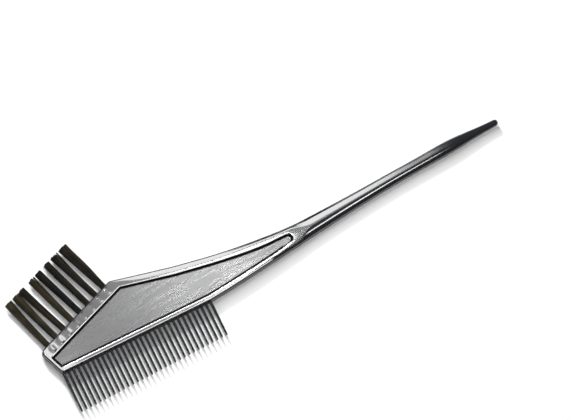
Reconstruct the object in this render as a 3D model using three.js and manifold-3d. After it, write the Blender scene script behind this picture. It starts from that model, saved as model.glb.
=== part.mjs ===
// Double-sided hair tint brush: a one-piece moulded handle whose flat head carries
// a slanted row of nylon tufts along one edge and a fine comb along the other.
// Each tuft is folded round a flat metal anchor in a blind hole of the bristle bar.
//
// Millimetres, +Z up, brush lying flat. +X runs from the head to the tail,
// +Y points to the bristle side and -Y to the comb side.

import * as THREE from "three";
import { mergeVertices } from "three/addons/utils/BufferGeometryUtils.js";
import Module from "manifold-3d";

const wasm = await Module();
wasm.setup();

const degrees = THREE.MathUtils.degToRad;

// Head plan, measured from the comb corner
const barTilt = degrees(16.6); // slope of the bristle edge
const headEndLength = 12.8; // short end edge, square to the bristle edge
const barLength = 41.6; // bristle edge, corner to corner
const combTilt = degrees(-4.1); // slope of the comb edge
const combEdgeLength = 68.4;
const upperTilt = degrees(-17.3); // straight slope behind the bristle edge
const upperStraightLength = 27;
const headEndRadius = 2.2;
const barCornerRadius = 1.3;
const combCornerRadius = 1.4;

// Head section: side walls lean in from the parting line to a small rounded edge
const headThickness = 5.2;
const wallDraft = 0.42;
const edgeRadius = 0.45;
const barDepth = 5.1; // bristle edge to the panel
const endRim = 1.8;
const combRim = 2.5;
const upperRim = 3.65;
const neckRim = 2.3; // shaft's start to the middle of the panel's round end
const panelEndRadius = 2;
const panelRecess = 1.2; // on each face
const panelDraft = 0.35; // how far a panel wall leans over its depth
const panelCornerRadius = 0.8;

// Shaft and tail
const neckX = 110.8; // where the panel ends and the shaft starts
const tailTipX = 209.3;
const tailWidth = 5.75; // widest place of the tail
const tailThickness = 4.9;
const shaftBow = 1.82; // how far the shaft arches to the bristle side
const tipRadius = 1.4;
const roundingLength = 26; // along which the flat section turns into the shaft's
// The shaft's section from the parting line to the crown:
// how far in and how far up, as shares of half the width and half the thickness
const crownShares = [
  [0, 0],
  [0.22, 0.72],
  [0.4, 0.9],
  [0.9, 1],
];

// Each row: place along the shaft, width, arch and thickness
// as shares of the shaft length, tailWidth, shaftBow and tailThickness
const shaftShares = [
  [0.0, 1.62, 0.88, 1.06],
  [0.13, 1.4, 0.89, 1.05],
  [0.26, 1.2, 0.94, 1.03],
  [0.38, 1.08, 0.98, 1.0],
  [0.5, 1.01, 1.0, 0.98],
  [0.62, 0.98, 0.93, 0.98],
  [0.74, 1.0, 0.88, 1.0],
  [0.8, 0.92, 0.82, 0.96],
  [0.865, 0.73, 0.7, 0.82],
  [0.925, 0.58, 0.53, 0.67],
];
// The head's two long edges between their straight stretches and the shaft:
// how far along, and how far across, as shares of the way to the shaft
const upperFlankShares = [
  [0.37, 0.47],
  [0.7, 0.79],
];
const lowerFlankShares = [
  [0.25, 0.14],
  [0.53, 0.44],
  [0.8, 0.78],
];

// Comb teeth
const toothCount = 32;
const toothPitch = 2.17;
const firstToothInset = 0.62; // comb corner to the first tooth's middle
const firstToothLength = 17.7;
const lastToothLength = 15.5;
const toothWidth = 1.12;
const toothTipWidth = 0.8;
const toothThickness = 2.7;
const toothLean = degrees(-0.9); // from square, towards the head end
const endToothShare = 1.2; // the outermost tooth is a wider guard tooth
const toothSides = 8;
const toothBury = 1.2; // how deep a tooth's root runs into the rim

// Tufts
const tuftCount = 8;
const tuftsInSlice = 2;
const tuftPitch = 4.8;
const firstTuftInset = 3.1; // bar corner by the neck to the first tuft's middle
const tuftLength = 24.2;
const tuftRootRadius = 1.22;
const tuftTipDepth = 3.6; // across the brush, measured in Z
const strandsInTuft = 46;
const strandRadius = 0.1;
const strandSides = 3;
// How far each tuft's tip leans to the head end, and how wide it spreads, over the pitch
const leanShares = [-0.21, -0.09, -0.2, -0.1, -0.25, 0, -0.3, -0.43];
const spreadShares = [0.96, 0.87, 0.58, 0.73, 0.73, 0.6, 0.72, 0.76];
const trimShare = 0.02; // unevenness of the cut ends over the tuft length

// Tuft holes, the slices that the tufts are fused to, and the anchors
const fit = 0.15; // clearance between seated pieces
const sliceInset = 0.3; // parting line to the slices' face
const sliceDepth = 0.8;
const sliceHeight = 2.9;
const sliceCornerRadius = 1.2;
const holeRadius = 1.35;
const holeSides = 20;
const holeDepth = 4;
const anchorWidth = 3.1;
const anchorHeight = 1.3;
const anchorThickness = 0.35;
const anchorRise = 0.55; // fold of the tuft below its anchor

const overrun = 1; // how far cutters pass beyond the faces that they cut
const cornerSegments = 4;

const black = new THREE.MeshStandardMaterial({ color: 0x1b1c1e, roughness: 0.38, metalness: 0 });
const bristle = new THREE.MeshStandardMaterial({ color: 0x1d1a14, roughness: 0.45, metalness: 0 });
const steel = new THREE.MeshStandardMaterial({ color: 0xb9b4a4, roughness: 0.35, metalness: 1 });

// Plan directions and corners of the head
const heading = (angle) => new THREE.Vector2(Math.cos(angle), Math.sin(angle));
const leftOf = (v) => new THREE.Vector2(-v.y, v.x);
const along = (start, direction, distance) => start.clone().addScaledVector(direction, distance);

const barDirection = heading(barTilt);
const barOut = leftOf(barDirection);
const combDirection = heading(combTilt);
const upperDirection = heading(upperTilt);
const combCorner = new THREE.Vector2(0, 0);
const endCorner = along(combCorner, barOut, headEndLength);
const barCorner = along(endCorner, barDirection, barLength);
const combEnd = along(combCorner, combDirection, combEdgeLength);
const upperEnd = along(barCorner, upperDirection, upperStraightLength);

// Shaft stations in millimetres
const shaftLength = tailTipX - neckX;
const tailEndX = tailTipX - tipRadius;
const stations = shaftShares.map(([place, width, arch, thick]) => ({
  x: neckX + place * shaftLength,
  halfWidth: (width * tailWidth) / 2,
  centre: arch * shaftBow,
  halfThickness: (thick * tailThickness) / 2,
}));
const tipCentreY = tipRadius / 2;
stations.push({ x: tailEndX, halfWidth: tipRadius, centre: tipCentreY, halfThickness: tipRadius });

// Value of a station field at x, held at the first and last stations
function shaftValue(x, field) {
  const after = stations.findIndex((s) => s.x > x);
  if (after === 0) return stations[0][field];
  if (after < 0) return stations[stations.length - 1][field];
  const [a, b] = [stations[after - 1], stations[after]];
  return THREE.MathUtils.lerp(a[field], b[field], (x - a.x) / (b.x - a.x));
}

// Arc points that round a corner between two straight edges
function roundedCorner(before, corner, after, radius, segments = cornerSegments) {
  const toBefore = before.clone().sub(corner).normalize();
  const toAfter = after.clone().sub(corner).normalize();
  const half = Math.acos(THREE.MathUtils.clamp(toBefore.dot(toAfter), -1, 1)) / 2;
  const reach = radius / Math.tan(half);
  const centre = along(corner, toBefore.clone().add(toAfter).normalize(), radius / Math.sin(half));
  const from = along(corner, toBefore, reach).sub(centre).angle();
  let turn = along(corner, toAfter, reach).sub(centre).angle() - from;
  if (turn > Math.PI) turn -= 2 * Math.PI;
  if (turn < -Math.PI) turn += 2 * Math.PI;
  const points = [];
  for (let i = 0; i <= segments; i++) {
    points.push(along(centre, heading(from + (turn * i) / segments), radius));
  }
  return points;
}

// Both edges of the shaft, from the head to the tail
const edgeSteps = 44;
const lowerShaft = stations.map((s) => new THREE.Vector2(s.x, s.centre - s.halfWidth));
const upperShaft = stations.map((s) => new THREE.Vector2(s.x, s.centre + s.halfWidth));
const flank = (from, to, shares) =>
  shares.map(
    ([forth, across]) =>
      new THREE.Vector2(THREE.MathUtils.lerp(from.x, to.x, forth), THREE.MathUtils.lerp(from.y, to.y, across)),
  );
const lowerFlank = flank(combEnd, lowerShaft[0], lowerFlankShares);
const upperFlank = flank(upperEnd, upperShaft[0], upperFlankShares);
const lowerEdge = new THREE.SplineCurve([combEnd, ...lowerFlank, ...lowerShaft]);
const upperEdge = new THREE.SplineCurve([upperEnd, ...upperFlank, ...upperShaft]);

// Outline of the whole handle at its parting line, counter-clockwise seen from above
function handleOutline() {
  const tip = [];
  const tipSteps = 6;
  for (let i = 1; i < tipSteps; i++) {
    const angle = -Math.PI / 2 + (Math.PI * i) / tipSteps;
    tip.push(along(new THREE.Vector2(tailEndX, tipCentreY), heading(angle), tipRadius));
  }
  return [
    ...roundedCorner(endCorner, combCorner, combEnd, combCornerRadius),
    ...lowerEdge.getPoints(edgeSteps),
    ...tip,
    ...upperEdge.getPoints(edgeSteps).reverse(),
    ...roundedCorner(upperEnd, barCorner, endCorner, barCornerRadius),
    ...roundedCorner(barCorner, endCorner, combCorner, headEndRadius),
  ];
}

// Inward normals of a closed counter-clockwise outline
function inwardNormals(outline) {
  const count = outline.length;
  return outline.map((point, i) => {
    const before = outline[(i + count - 1) % count];
    const after = outline[(i + 1) % count];
    const inA = leftOf(point.clone().sub(before).normalize());
    const inB = leftOf(after.clone().sub(point).normalize());
    const mean = inA.add(inB).normalize();
    return mean.divideScalar(Math.max(mean.dot(inB), 1 / 2));
  });
}

// Closed solid from rings of equal length, stitched in order and capped at both ends
function ringSolid(rings) {
  const count = rings[0].length;
  const positions = rings.flat().flatMap((p) => [p.x, p.y, p.z]);
  const faces = [];
  for (let k = 0; k + 1 < rings.length; k++) {
    for (let i = 0; i < count; i++) {
      const [a, b] = [k * count + i, k * count + ((i + 1) % count)];
      faces.push(a, b, b + count, a, b + count, a + count);
    }
  }
  const flat = (ring) => ring.map((p) => new THREE.Vector2(p.x, p.y));
  const last = (rings.length - 1) * count;
  for (const [a, b, c] of THREE.ShapeUtils.triangulateShape(flat(rings[0]), [])) {
    faces.push(a, c, b);
  }
  for (const [a, b, c] of THREE.ShapeUtils.triangulateShape(flat(rings[rings.length - 1]), [])) {
    faces.push(last + a, last + b, last + c);
  }
  const geometry = new THREE.BufferGeometry();
  geometry.setAttribute("position", new THREE.Float32BufferAttribute(positions, 3));
  geometry.setIndex(faces);
  return geometry;
}

// A geometry as a solid that can be joined and cut
function solidFrom(geometry) {
  const bare = geometry.clone();
  bare.deleteAttribute("normal");
  bare.deleteAttribute("uv");
  const merged = mergeVertices(bare);
  return new wasm.Manifold(
    new wasm.Mesh({
      numProp: 3,
      vertProperties: new Float32Array(merged.attributes.position.array),
      triVerts: new Uint32Array(merged.index.array),
    }),
  );
}

// A solid as a geometry for a mesh
function geometryFrom(solid) {
  const { numProp, vertProperties, triVerts } = solid.getMesh();
  const positions = [];
  for (let i = 0; i < vertProperties.length; i += numProp) {
    positions.push(vertProperties[i], vertProperties[i + 1], vertProperties[i + 2]);
  }
  const geometry = new THREE.BufferGeometry();
  geometry.setAttribute("position", new THREE.Float32BufferAttribute(positions, 3));
  geometry.setIndex(Array.from(triVerts));
  geometry.computeVertexNormals();
  return geometry;
}

const joined = (solids) => solids.reduce((whole, next) => whole.add(next));

// Handle blank: the flat head's section turns into the shaft's crowned one
function handleBlank() {
  const outline = handleOutline();
  const inward = inwardNormals(outline);
  const half = headThickness / 2;
  const headSection = [
    [0, 0],
    [wallDraft, half - edgeRadius],
    [wallDraft + edgeRadius * (1 - Math.SQRT1_2), half - edgeRadius * (1 - Math.SQRT1_2)],
    [wallDraft + edgeRadius, half],
  ];
  const ring = (step, side) =>
    outline.map((point, i) => {
      const turned = THREE.MathUtils.smoothstep(point.x, neckX - roundingLength / 2, neckX + roundingLength);
      const [headIn, headUp] = headSection[step];
      const [crownIn, crownUp] = crownShares[step];
      const across = THREE.MathUtils.lerp(headIn, crownIn * shaftValue(point.x, "halfWidth"), turned);
      const rise = THREE.MathUtils.lerp(headUp, crownUp * shaftValue(point.x, "halfThickness"), turned);
      const inset = along(point, inward[i], across);
      return new THREE.Vector3(inset.x, inset.y, side * rise);
    });
  const rings = [];
  for (let step = crownShares.length - 1; step > 0; step--) rings.push(ring(step, -1));
  for (let step = 0; step < crownShares.length; step++) rings.push(ring(step, 1));
  return ringSolid(rings);
}

// Where a line parallel to one edge, moved inwards, meets a line parallel to another
function offsetCorner(pointA, directionA, insetA, pointB, directionB, insetB) {
  const a = along(pointA, leftOf(directionA), insetA);
  const b = along(pointB, leftOf(directionB), insetB);
  const gap = b.clone().sub(a);
  const distance = gap.cross(directionB) / directionA.cross(directionB);
  return along(a, directionA, distance);
}

// Outline of the sunk panel, which follows the head's edges at their rim widths
function panelOutline() {
  const endDirection = barOut.clone().negate();
  const barBackwards = barDirection.clone().negate();
  const upperBackwards = upperDirection.clone().negate();
  const low = offsetCorner(combCorner, combDirection, combRim, combCorner, endDirection, endRim);
  const end = offsetCorner(combCorner, endDirection, endRim, endCorner, barBackwards, barDepth);
  const high = offsetCorner(endCorner, barBackwards, barDepth, barCorner, upperBackwards, upperRim);
  const upperFoot = along(upperEnd, leftOf(upperBackwards), upperRim);
  const combFoot = along(combEnd, leftOf(combDirection), combRim);
  const capCentre = new THREE.Vector2(neckX - neckRim, stations[0].centre);
  const up = new THREE.Vector2(0, 1);
  const lower = new THREE.SplineCurve([
    combFoot,
    ...lowerFlank.map((point) => along(point, up, combRim)),
    along(capCentre, up, -panelEndRadius),
  ]);
  const upper = new THREE.SplineCurve([
    along(capCentre, up, panelEndRadius),
    ...upperFlank.map((point) => along(point, up, -upperRim)).reverse(),
    upperFoot,
  ]);
  const cap = [];
  const capSteps = 8;
  for (let i = 1; i < capSteps; i++) {
    cap.push(along(capCentre, heading(-Math.PI / 2 + (Math.PI * i) / capSteps), panelEndRadius));
  }
  const curveSteps = 10;
  return [
    ...roundedCorner(end, low, combFoot, panelCornerRadius),
    ...lower.getPoints(curveSteps),
    ...cap,
    ...upper.getPoints(curveSteps),
    ...roundedCorner(upperFoot, high, end, panelCornerRadius),
    ...roundedCorner(high, end, low, panelCornerRadius),
  ];
}

// Cutter for the panel on the upper face, with leaning walls
function panelCutter() {
  const outline = panelOutline();
  const inward = inwardNormals(outline);
  const ring = (inset, z) =>
    outline.map((point, i) => {
      const moved = along(point, inward[i], inset);
      return new THREE.Vector3(moved.x, moved.y, z);
    });
  const floorZ = headThickness / 2 - panelRecess;
  const slope = panelDraft / panelRecess;
  return ringSolid([
    ring(panelDraft, floorZ),
    ring(-slope * overrun, headThickness / 2 + overrun),
  ]);
}

// One comb tooth pointing along -Y from the origin, oval in section, with a round tip
function toothGeometry(length, widthScale) {
  const rootHalf = (toothWidth * widthScale) / 2;
  const tipHalf = toothTipWidth / 2;
  const straight = length - tipHalf;
  const profile = [
    [0, -toothBury],
    [rootHalf, -toothBury],
    [rootHalf, 0],
    [tipHalf, straight],
    [tipHalf * Math.SQRT1_2, straight + tipHalf * Math.SQRT1_2],
    [0, length],
  ];
  const points = profile.map(([radius, reach]) => new THREE.Vector2(radius, reach));
  const tooth = new THREE.LatheGeometry(points, toothSides, Math.PI / toothSides);
  tooth.scale(1, 1, toothThickness / (toothWidth * widthScale));
  return tooth.rotateX(Math.PI);
}

// All the teeth, placed along the comb edge
function combTeeth() {
  const teeth = [];
  for (let i = 0; i < toothCount; i++) {
    const length = THREE.MathUtils.lerp(firstToothLength, lastToothLength, i / (toothCount - 1));
    const tooth = toothGeometry(length, i === 0 ? endToothShare : 1);
    const place = along(combCorner, combDirection, firstToothInset + i * toothPitch);
    tooth.rotateZ(combTilt + toothLean).translate(place.x, place.y, 0);
    teeth.push(solidFrom(tooth));
  }
  return joined(teeth);
}

// The bristle bar's own frame has its origin on the first tuft's axis at the slices' face,
// +X towards the head end along the row and +Y out of the bar.
const rowOrigin = along(along(barCorner, barDirection, -firstTuftInset), barOut, -sliceInset);
const rowMatrix = new THREE.Matrix4().makeBasis(
  new THREE.Vector3(-barDirection.x, -barDirection.y, 0),
  new THREE.Vector3(barOut.x, barOut.y, 0),
  new THREE.Vector3(0, 0, -1),
).setPosition(rowOrigin.x, rowOrigin.y, 0);

// A block with rounded ends in its X-Z face, its top at the given Y
function slab(width, height, depth, topY, radius) {
  const [w, h] = [width / 2, height / 2];
  const shape = new THREE.Shape();
  shape.moveTo(-w + radius, -h);
  shape.lineTo(w - radius, -h);
  shape.absarc(w - radius, -h + radius, radius, -Math.PI / 2, 0);
  shape.absarc(w - radius, h - radius, radius, 0, Math.PI / 2);
  shape.absarc(-w + radius, h - radius, radius, Math.PI / 2, Math.PI);
  shape.absarc(-w + radius, -h + radius, radius, Math.PI, (3 * Math.PI) / 2);
  const block = new THREE.ExtrudeGeometry(shape, {
    depth,
    bevelEnabled: false,
    curveSegments: cornerSegments,
  });
  return block.rotateX(Math.PI / 2).translate(0, topY, 0);
}

// A round plug along Y whose top is at the given Y
function plug(radius, length, topY) {
  return new THREE.CylinderGeometry(radius, radius, length, holeSides).translate(0, topY - length / 2, 0);
}

const sliceLength = tuftsInSlice * tuftPitch - 2 * fit;
const sliceMiddle = (slice) => (slice * tuftsInSlice + (tuftsInSlice - 1) / 2) * tuftPitch;
const anchorY = -holeDepth + fit + anchorRise + anchorHeight / 2;

// Everything cut out of the bar: the rebate, the tuft holes and the anchors' tracks
function barCutters() {
  const rebateLength = tuftCount * tuftPitch;
  const rebateHeight = sliceHeight + 2 * fit;
  const rebate = slab(rebateLength, rebateHeight, sliceDepth + fit + overrun, overrun, sliceCornerRadius + fit);
  const middle = ((tuftCount - 1) / 2) * tuftPitch;
  const cutters = [solidFrom(rebate.translate(middle, 0, 0))];
  for (let tuft = 0; tuft < tuftCount; tuft++) {
    const x = tuft * tuftPitch;
    const hole = plug(holeRadius, holeDepth + overrun, overrun).translate(x, 0, 0);
    const trackBottom = anchorY - anchorHeight / 2 - fit;
    const track = new THREE.BoxGeometry(anchorWidth + 2 * fit, overrun - trackBottom, anchorThickness + 2 * fit);
    track.translate(x, (overrun + trackBottom) / 2, 0);
    cutters.push(solidFrom(hole), solidFrom(track));
  }
  return joined(cutters).transform(rowMatrix.elements);
}

// The whole handle moulding
function handle() {
  const pocket = solidFrom(panelCutter());
  const blank = solidFrom(handleBlank());
  return blank
    .subtract(pocket)
    .subtract(pocket.rotate([180, 0, 0]).transform(mirrorPlan))
    .add(combTeeth())
    .subtract(barCutters());
}

// Turning a solid over about X also flips its plan, which this flips back
const mirrorPlan = new THREE.Matrix4().makeScale(1, -1, 1).elements;

// One strand of a tuft as a slim closed prism through three points
function strand(points) {
  const ring = (centre, radius) => {
    const corners = [];
    for (let i = 0; i < strandSides; i++) {
      const angle = (2 * Math.PI * i) / strandSides;
      corners.push(new THREE.Vector3(
        centre.x + radius * Math.cos(angle),
        centre.y,
        centre.z - radius * Math.sin(angle),
      ));
    }
    return corners;
  };
  const rings = points.map((p) => ring(p, strandRadius));
  const positions = rings.flat().flatMap((p) => [p.x, p.y, p.z]);
  const faces = [];
  for (let k = 0; k + 1 < rings.length; k++) {
    for (let i = 0; i < strandSides; i++) {
      const [a, b] = [k * strandSides + i, k * strandSides + ((i + 1) % strandSides)];
      faces.push(a, b, b + strandSides, a, b + strandSides, a + strandSides);
    }
  }
  const last = (rings.length - 1) * strandSides;
  for (let i = 1; i + 1 < strandSides; i++) {
    faces.push(0, i + 1, i);
    faces.push(last, last + i, last + i + 1);
  }
  const geometry = new THREE.BufferGeometry();
  geometry.setAttribute("position", new THREE.Float32BufferAttribute(positions, 3));
  geometry.setIndex(faces);
  return geometry;
}

// The strands of one tuft, packed at the root and flared at the tip
function tuftStrands(tuft) {
  const goldenAngle = Math.PI * (3 - Math.sqrt(5));
  const lean = leanShares[tuft] * tuftPitch;
  const root = tuftRootRadius - strandRadius;
  const tipAcross = (spreadShares[tuft] * tuftPitch) / 2 - strandRadius;
  const tipUp = tuftTipDepth / 2 - strandRadius;
  const strands = [];
  for (let i = 0; i < strandsInTuft; i++) {
    const radius = Math.sqrt((i + 1 / 2) / strandsInTuft);
    const across = radius * Math.cos(i * goldenAngle);
    const up = radius * Math.sin(i * goldenAngle);
    const end = tuftLength * (1 - trimShare * Math.abs(Math.sin(i * goldenAngle * 3)));
    const at = (share) => {
      const flare = share * (1 + share) / 2;
      return new THREE.Vector3(
        tuft * tuftPitch + across * THREE.MathUtils.lerp(root, tipAcross, flare) + lean * flare,
        THREE.MathUtils.lerp(-sliceDepth / 2, end, share),
        up * THREE.MathUtils.lerp(root, tipUp, flare),
      );
    };
    strands.push(solidFrom(strand([at(0), at(1 / 2), at(1)])));
  }
  return joined(strands);
}

// A slice with its tufts: the strands above, and their folded roots round the anchors below
function tuftSlice(slice) {
  const base = slab(sliceLength, sliceHeight, sliceDepth, 0, sliceCornerRadius);
  let whole = solidFrom(base.translate(sliceMiddle(slice), 0, 0));
  for (let k = 0; k < tuftsInSlice; k++) {
    const tuft = slice * tuftsInSlice + k;
    const x = tuft * tuftPitch;
    const fold = plug(holeRadius - fit, holeDepth - fit - sliceDepth / 2, -sliceDepth / 2);
    const eye = new THREE.BoxGeometry(2 * holeRadius, anchorHeight + 2 * fit, anchorThickness + 2 * fit);
    const folded = solidFrom(fold.translate(x, 0, 0)).subtract(solidFrom(eye.translate(x, anchorY, 0)));
    whole = whole.add(folded).add(tuftStrands(tuft));
  }
  return whole;
}

// Assembly
const brush = new THREE.Group();

function place(parent, name, geometry, material) {
  const mesh = new THREE.Mesh(geometry, material);
  mesh.name = name;
  parent.add(mesh);
  return mesh;
}

place(brush, "handle", geometryFrom(handle()), black);

const row = new THREE.Group();
row.applyMatrix4(rowMatrix);
brush.add(row);
for (let slice = 0; slice < tuftCount / tuftsInSlice; slice++) {
  const first = slice * tuftsInSlice + 1;
  place(row, `tufts_${first}_and_${first + 1}`, geometryFrom(tuftSlice(slice)), bristle);
}
for (let tuft = 0; tuft < tuftCount; tuft++) {
  const plate = new THREE.BoxGeometry(anchorWidth, anchorHeight, anchorThickness);
  const anchor = place(row, `anchor_${tuft + 1}`, plate, steel);
  anchor.position.set(tuft * tuftPitch, anchorY, 0);
}

// The part's origin is the middle of its box, at the surface it lies on
const box = new THREE.Box3().setFromObject(brush, true);
const centre = box.getCenter(new THREE.Vector3());
brush.position.set(-centre.x, -centre.y, -box.min.z);

const part = new THREE.Group();
part.add(brush);

export default part;
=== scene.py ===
"""Hair tint brush with a comb side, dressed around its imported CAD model.

The handle is one black moulding: a flat head with a sunk panel on each face, a bar with a
row of nylon tufts, a fine comb, and a crowned shaft that ends in a round tail. Lengths are in
millimetres until a piece is finished, and metres after that. The plan has its origin at the
comb corner of the head, with +X towards the tail and +Y towards the tufts.
"""

import bisect
import logging
import math
import random
from dataclasses import dataclass, field
from enum import Enum
from functools import cached_property

import bmesh
import bpy
from mathutils import Matrix, Vector


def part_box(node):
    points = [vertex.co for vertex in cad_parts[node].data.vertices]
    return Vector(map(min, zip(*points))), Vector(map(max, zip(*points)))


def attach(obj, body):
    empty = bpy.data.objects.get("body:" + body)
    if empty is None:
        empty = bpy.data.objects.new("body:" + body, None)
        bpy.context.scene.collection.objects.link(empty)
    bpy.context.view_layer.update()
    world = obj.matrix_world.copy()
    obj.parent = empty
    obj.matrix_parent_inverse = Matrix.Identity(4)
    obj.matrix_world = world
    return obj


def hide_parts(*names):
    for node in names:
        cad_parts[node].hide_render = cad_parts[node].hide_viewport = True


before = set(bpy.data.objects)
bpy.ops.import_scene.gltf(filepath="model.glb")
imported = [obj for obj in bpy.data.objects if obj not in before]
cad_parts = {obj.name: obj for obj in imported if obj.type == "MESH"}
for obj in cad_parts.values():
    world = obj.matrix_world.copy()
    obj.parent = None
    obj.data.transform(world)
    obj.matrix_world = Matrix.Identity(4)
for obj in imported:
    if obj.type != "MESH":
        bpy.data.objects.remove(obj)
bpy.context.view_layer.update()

MM = 0.001
BODY = "root"
GOLDEN_ANGLE = math.pi * (3 - math.sqrt(5))

CAMERA_AZIMUTH = -90 - 30.99
CAMERA_ELEVATION = 74
WHITE = (1, 1, 1, 1)

BMesh, BMVert, BMEdge = bmesh.types.BMesh, bmesh.types.BMVert, bmesh.types.BMEdge
Object, Material = bpy.types.Object, bpy.types.Material
Node, Socket = bpy.types.Node, bpy.types.NodeSocket
Triple = tuple[float, float, float]

log = logging.getLogger("tint_brush")


class Slot(Enum):
    """Material slots of the record."""

    PLASTIC = "black_plastic"
    NYLON = "bristle_nylon"
    STEEL = "anchor_steel"


class Finish(Enum):
    """Finishes of the handle, in the order of its materials."""

    RIM = 0
    PANEL = 1
    # Painted shade: a darker, duller ring for each panel's recess wall and foot
    STEP = 2


def heading(angle: float) -> Vector:
    """The plan direction at an angle from +X, in radians."""
    return Vector((math.cos(angle), math.sin(angle)))


def left_of(direction: Vector) -> Vector:
    """The plan direction a quarter turn to the left."""
    return Vector((-direction.y, direction.x))


def mix(a: float, b: float, share: float) -> float:
    """The value that lies share of the way from a to b."""
    return a + (b - a) * share


def smooth_step(value: float, low: float, high: float) -> float:
    """A smooth rise from 0 at low to 1 at high."""
    share = min(max((value - low) / (high - low), 0.0), 1.0)
    return share * share * (3 - 2 * share)


def rounded_corner(
    before: Vector, corner: Vector, after: Vector, radius: float, steps: int
) -> list[Vector]:
    """Rounds a corner between two straight edges.

    Args:
        before: A point on the edge that comes in.
        corner: The sharp corner.
        after: A point on the edge that goes out.
        radius: Radius of the arc.
        steps: Number of chords in the arc.

    Returns:
        The arc's points in order.
    """
    to_before, to_after = (before - corner).normalized(), (after - corner).normalized()
    half = to_before.angle(to_after) / 2
    reach, depth = radius / math.tan(half), radius / math.sin(half)
    centre = corner + (to_before + to_after).normalized() * depth
    start = corner + to_before * reach - centre
    end = corner + to_after * reach - centre
    first = math.atan2(start.y, start.x)
    turn = (math.atan2(end.y, end.x) - first + math.pi) % (2 * math.pi) - math.pi
    return [centre + heading(first + turn * i / steps) * radius for i in range(steps + 1)]


def crossing(point_a: Vector, along_a: Vector, point_b: Vector, along_b: Vector) -> Vector:
    """The plan point where two lines cross."""
    gap = point_b - point_a
    return point_a + along_a * (gap.cross(along_b) / along_a.cross(along_b))


class Spline:
    """A smooth plan curve through given points, each further along X than the one before."""

    samples = 40

    def __init__(self, points: list[Vector]) -> None:
        """Samples the curve between its points.

        Args:
            points: The points, in order.
        """
        last = len(points) - 1
        self.line: list[Vector] = []
        for i in range(last):
            a, b = points[i], points[i + 1]
            slope_a = (b - points[max(i - 1, 0)]) / 2
            slope_b = (points[min(i + 2, last)] - a) / 2
            for k in range(self.samples):
                t = k / self.samples
                self.line.append(
                    a * (2 * t**3 - 3 * t**2 + 1)
                    + slope_a * (t**3 - 2 * t**2 + t)
                    + b * (3 * t**2 - 2 * t**3)
                    + slope_b * (t**3 - t**2)
                )
        self.line.append(points[last].copy())
        self.forth = [p.x for p in self.line]

    def at(self, x: float) -> Vector:
        """The curve's point at x.

        Args:
            x: Place along X.

        Returns:
            The point, held at the curve's ends.
        """
        i = min(max(bisect.bisect_right(self.forth, x), 1), len(self.line) - 1)
        a, b = self.line[i - 1], self.line[i]
        share = min(max((x - a.x) / (b.x - a.x), 0.0), 1.0)
        return a.lerp(b, share)


def steps_between(low: float, high: float, spacing: float) -> list[float]:
    """Evenly spaced values from low up to, but not with, high."""
    count = max(1, round((high - low) / spacing))
    return [mix(low, high, i / count) for i in range(count)]


def ring_edges(bm: BMesh, ring: list[BMVert]) -> list[BMEdge]:
    """The edges that join a closed ring's vertices in order."""
    found = (bm.edges.get((a, b)) for a, b in zip(ring, [*ring[1:], ring[0]]))
    return [edge for edge in found if edge is not None]


def first_ring(bm: BMesh, places: list[Vector]) -> list[BMVert]:
    """Makes a circle and moves its vertices to the given places.

    Args:
        bm: The mesh to build in.
        places: Places in order round the ring.

    Returns:
        The ring's vertices in order.
    """
    made = bmesh.ops.create_circle(bm, segments=len(places), radius=1.0)["verts"]
    ring = sorted(made, key=lambda vert: math.atan2(vert.co.y, vert.co.x))
    for vert, place in zip(ring, places):
        vert.co = place
    return ring


def next_ring(bm: BMesh, ring: list[BMVert], places: list[Vector]) -> list[BMVert]:
    """Extrudes a ring and moves the new vertices to the given places.

    Args:
        bm: The mesh to build in.
        ring: The ring to extrude.
        places: A place for each new vertex.

    Returns:
        The new ring's vertices in order.
    """
    made = bmesh.ops.extrude_edge_only(bm, edges=ring_edges(bm, ring))["geom"]
    fresh = {item for item in made if isinstance(item, BMVert)}
    grown = []
    for vert, place in zip(ring, places):
        others = (edge.other_vert(vert) for edge in vert.link_edges)
        twin = next(other for other in others if other in fresh)
        twin.co = place
        grown.append(twin)
    return grown


@dataclass(frozen=True)
class Row:
    """Place of the tuft row, read from the anchors of the frame."""

    tuft_count: int = 8
    anchor_depth: float = 2.95  # parting line of the bar to an anchor's middle

    def anchor(self, number: int) -> Vector:
        """Middle of an anchor in the frame, in millimetres."""
        low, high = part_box(f"anchor_{number}")
        return (low + high) / (2 * MM)

    @cached_property
    def to_end(self) -> Vector:
        """Direction along the row, from the neck side to the head's end."""
        return (self.anchor(self.tuft_count) - self.anchor(1)).to_2d().normalized()

    @cached_property
    def out(self) -> Vector:
        """Direction in which the tufts point."""
        return -left_of(self.to_end)

    @cached_property
    def pitch(self) -> float:
        """Distance from tuft to tuft."""
        span = (self.anchor(self.tuft_count) - self.anchor(1)).to_2d().length
        return span / (self.tuft_count - 1)

    @cached_property
    def start(self) -> Vector:
        """Where the first tuft's axis crosses the bar's parting line, in the frame."""
        return self.anchor(1).to_2d() + self.out * self.anchor_depth


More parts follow.
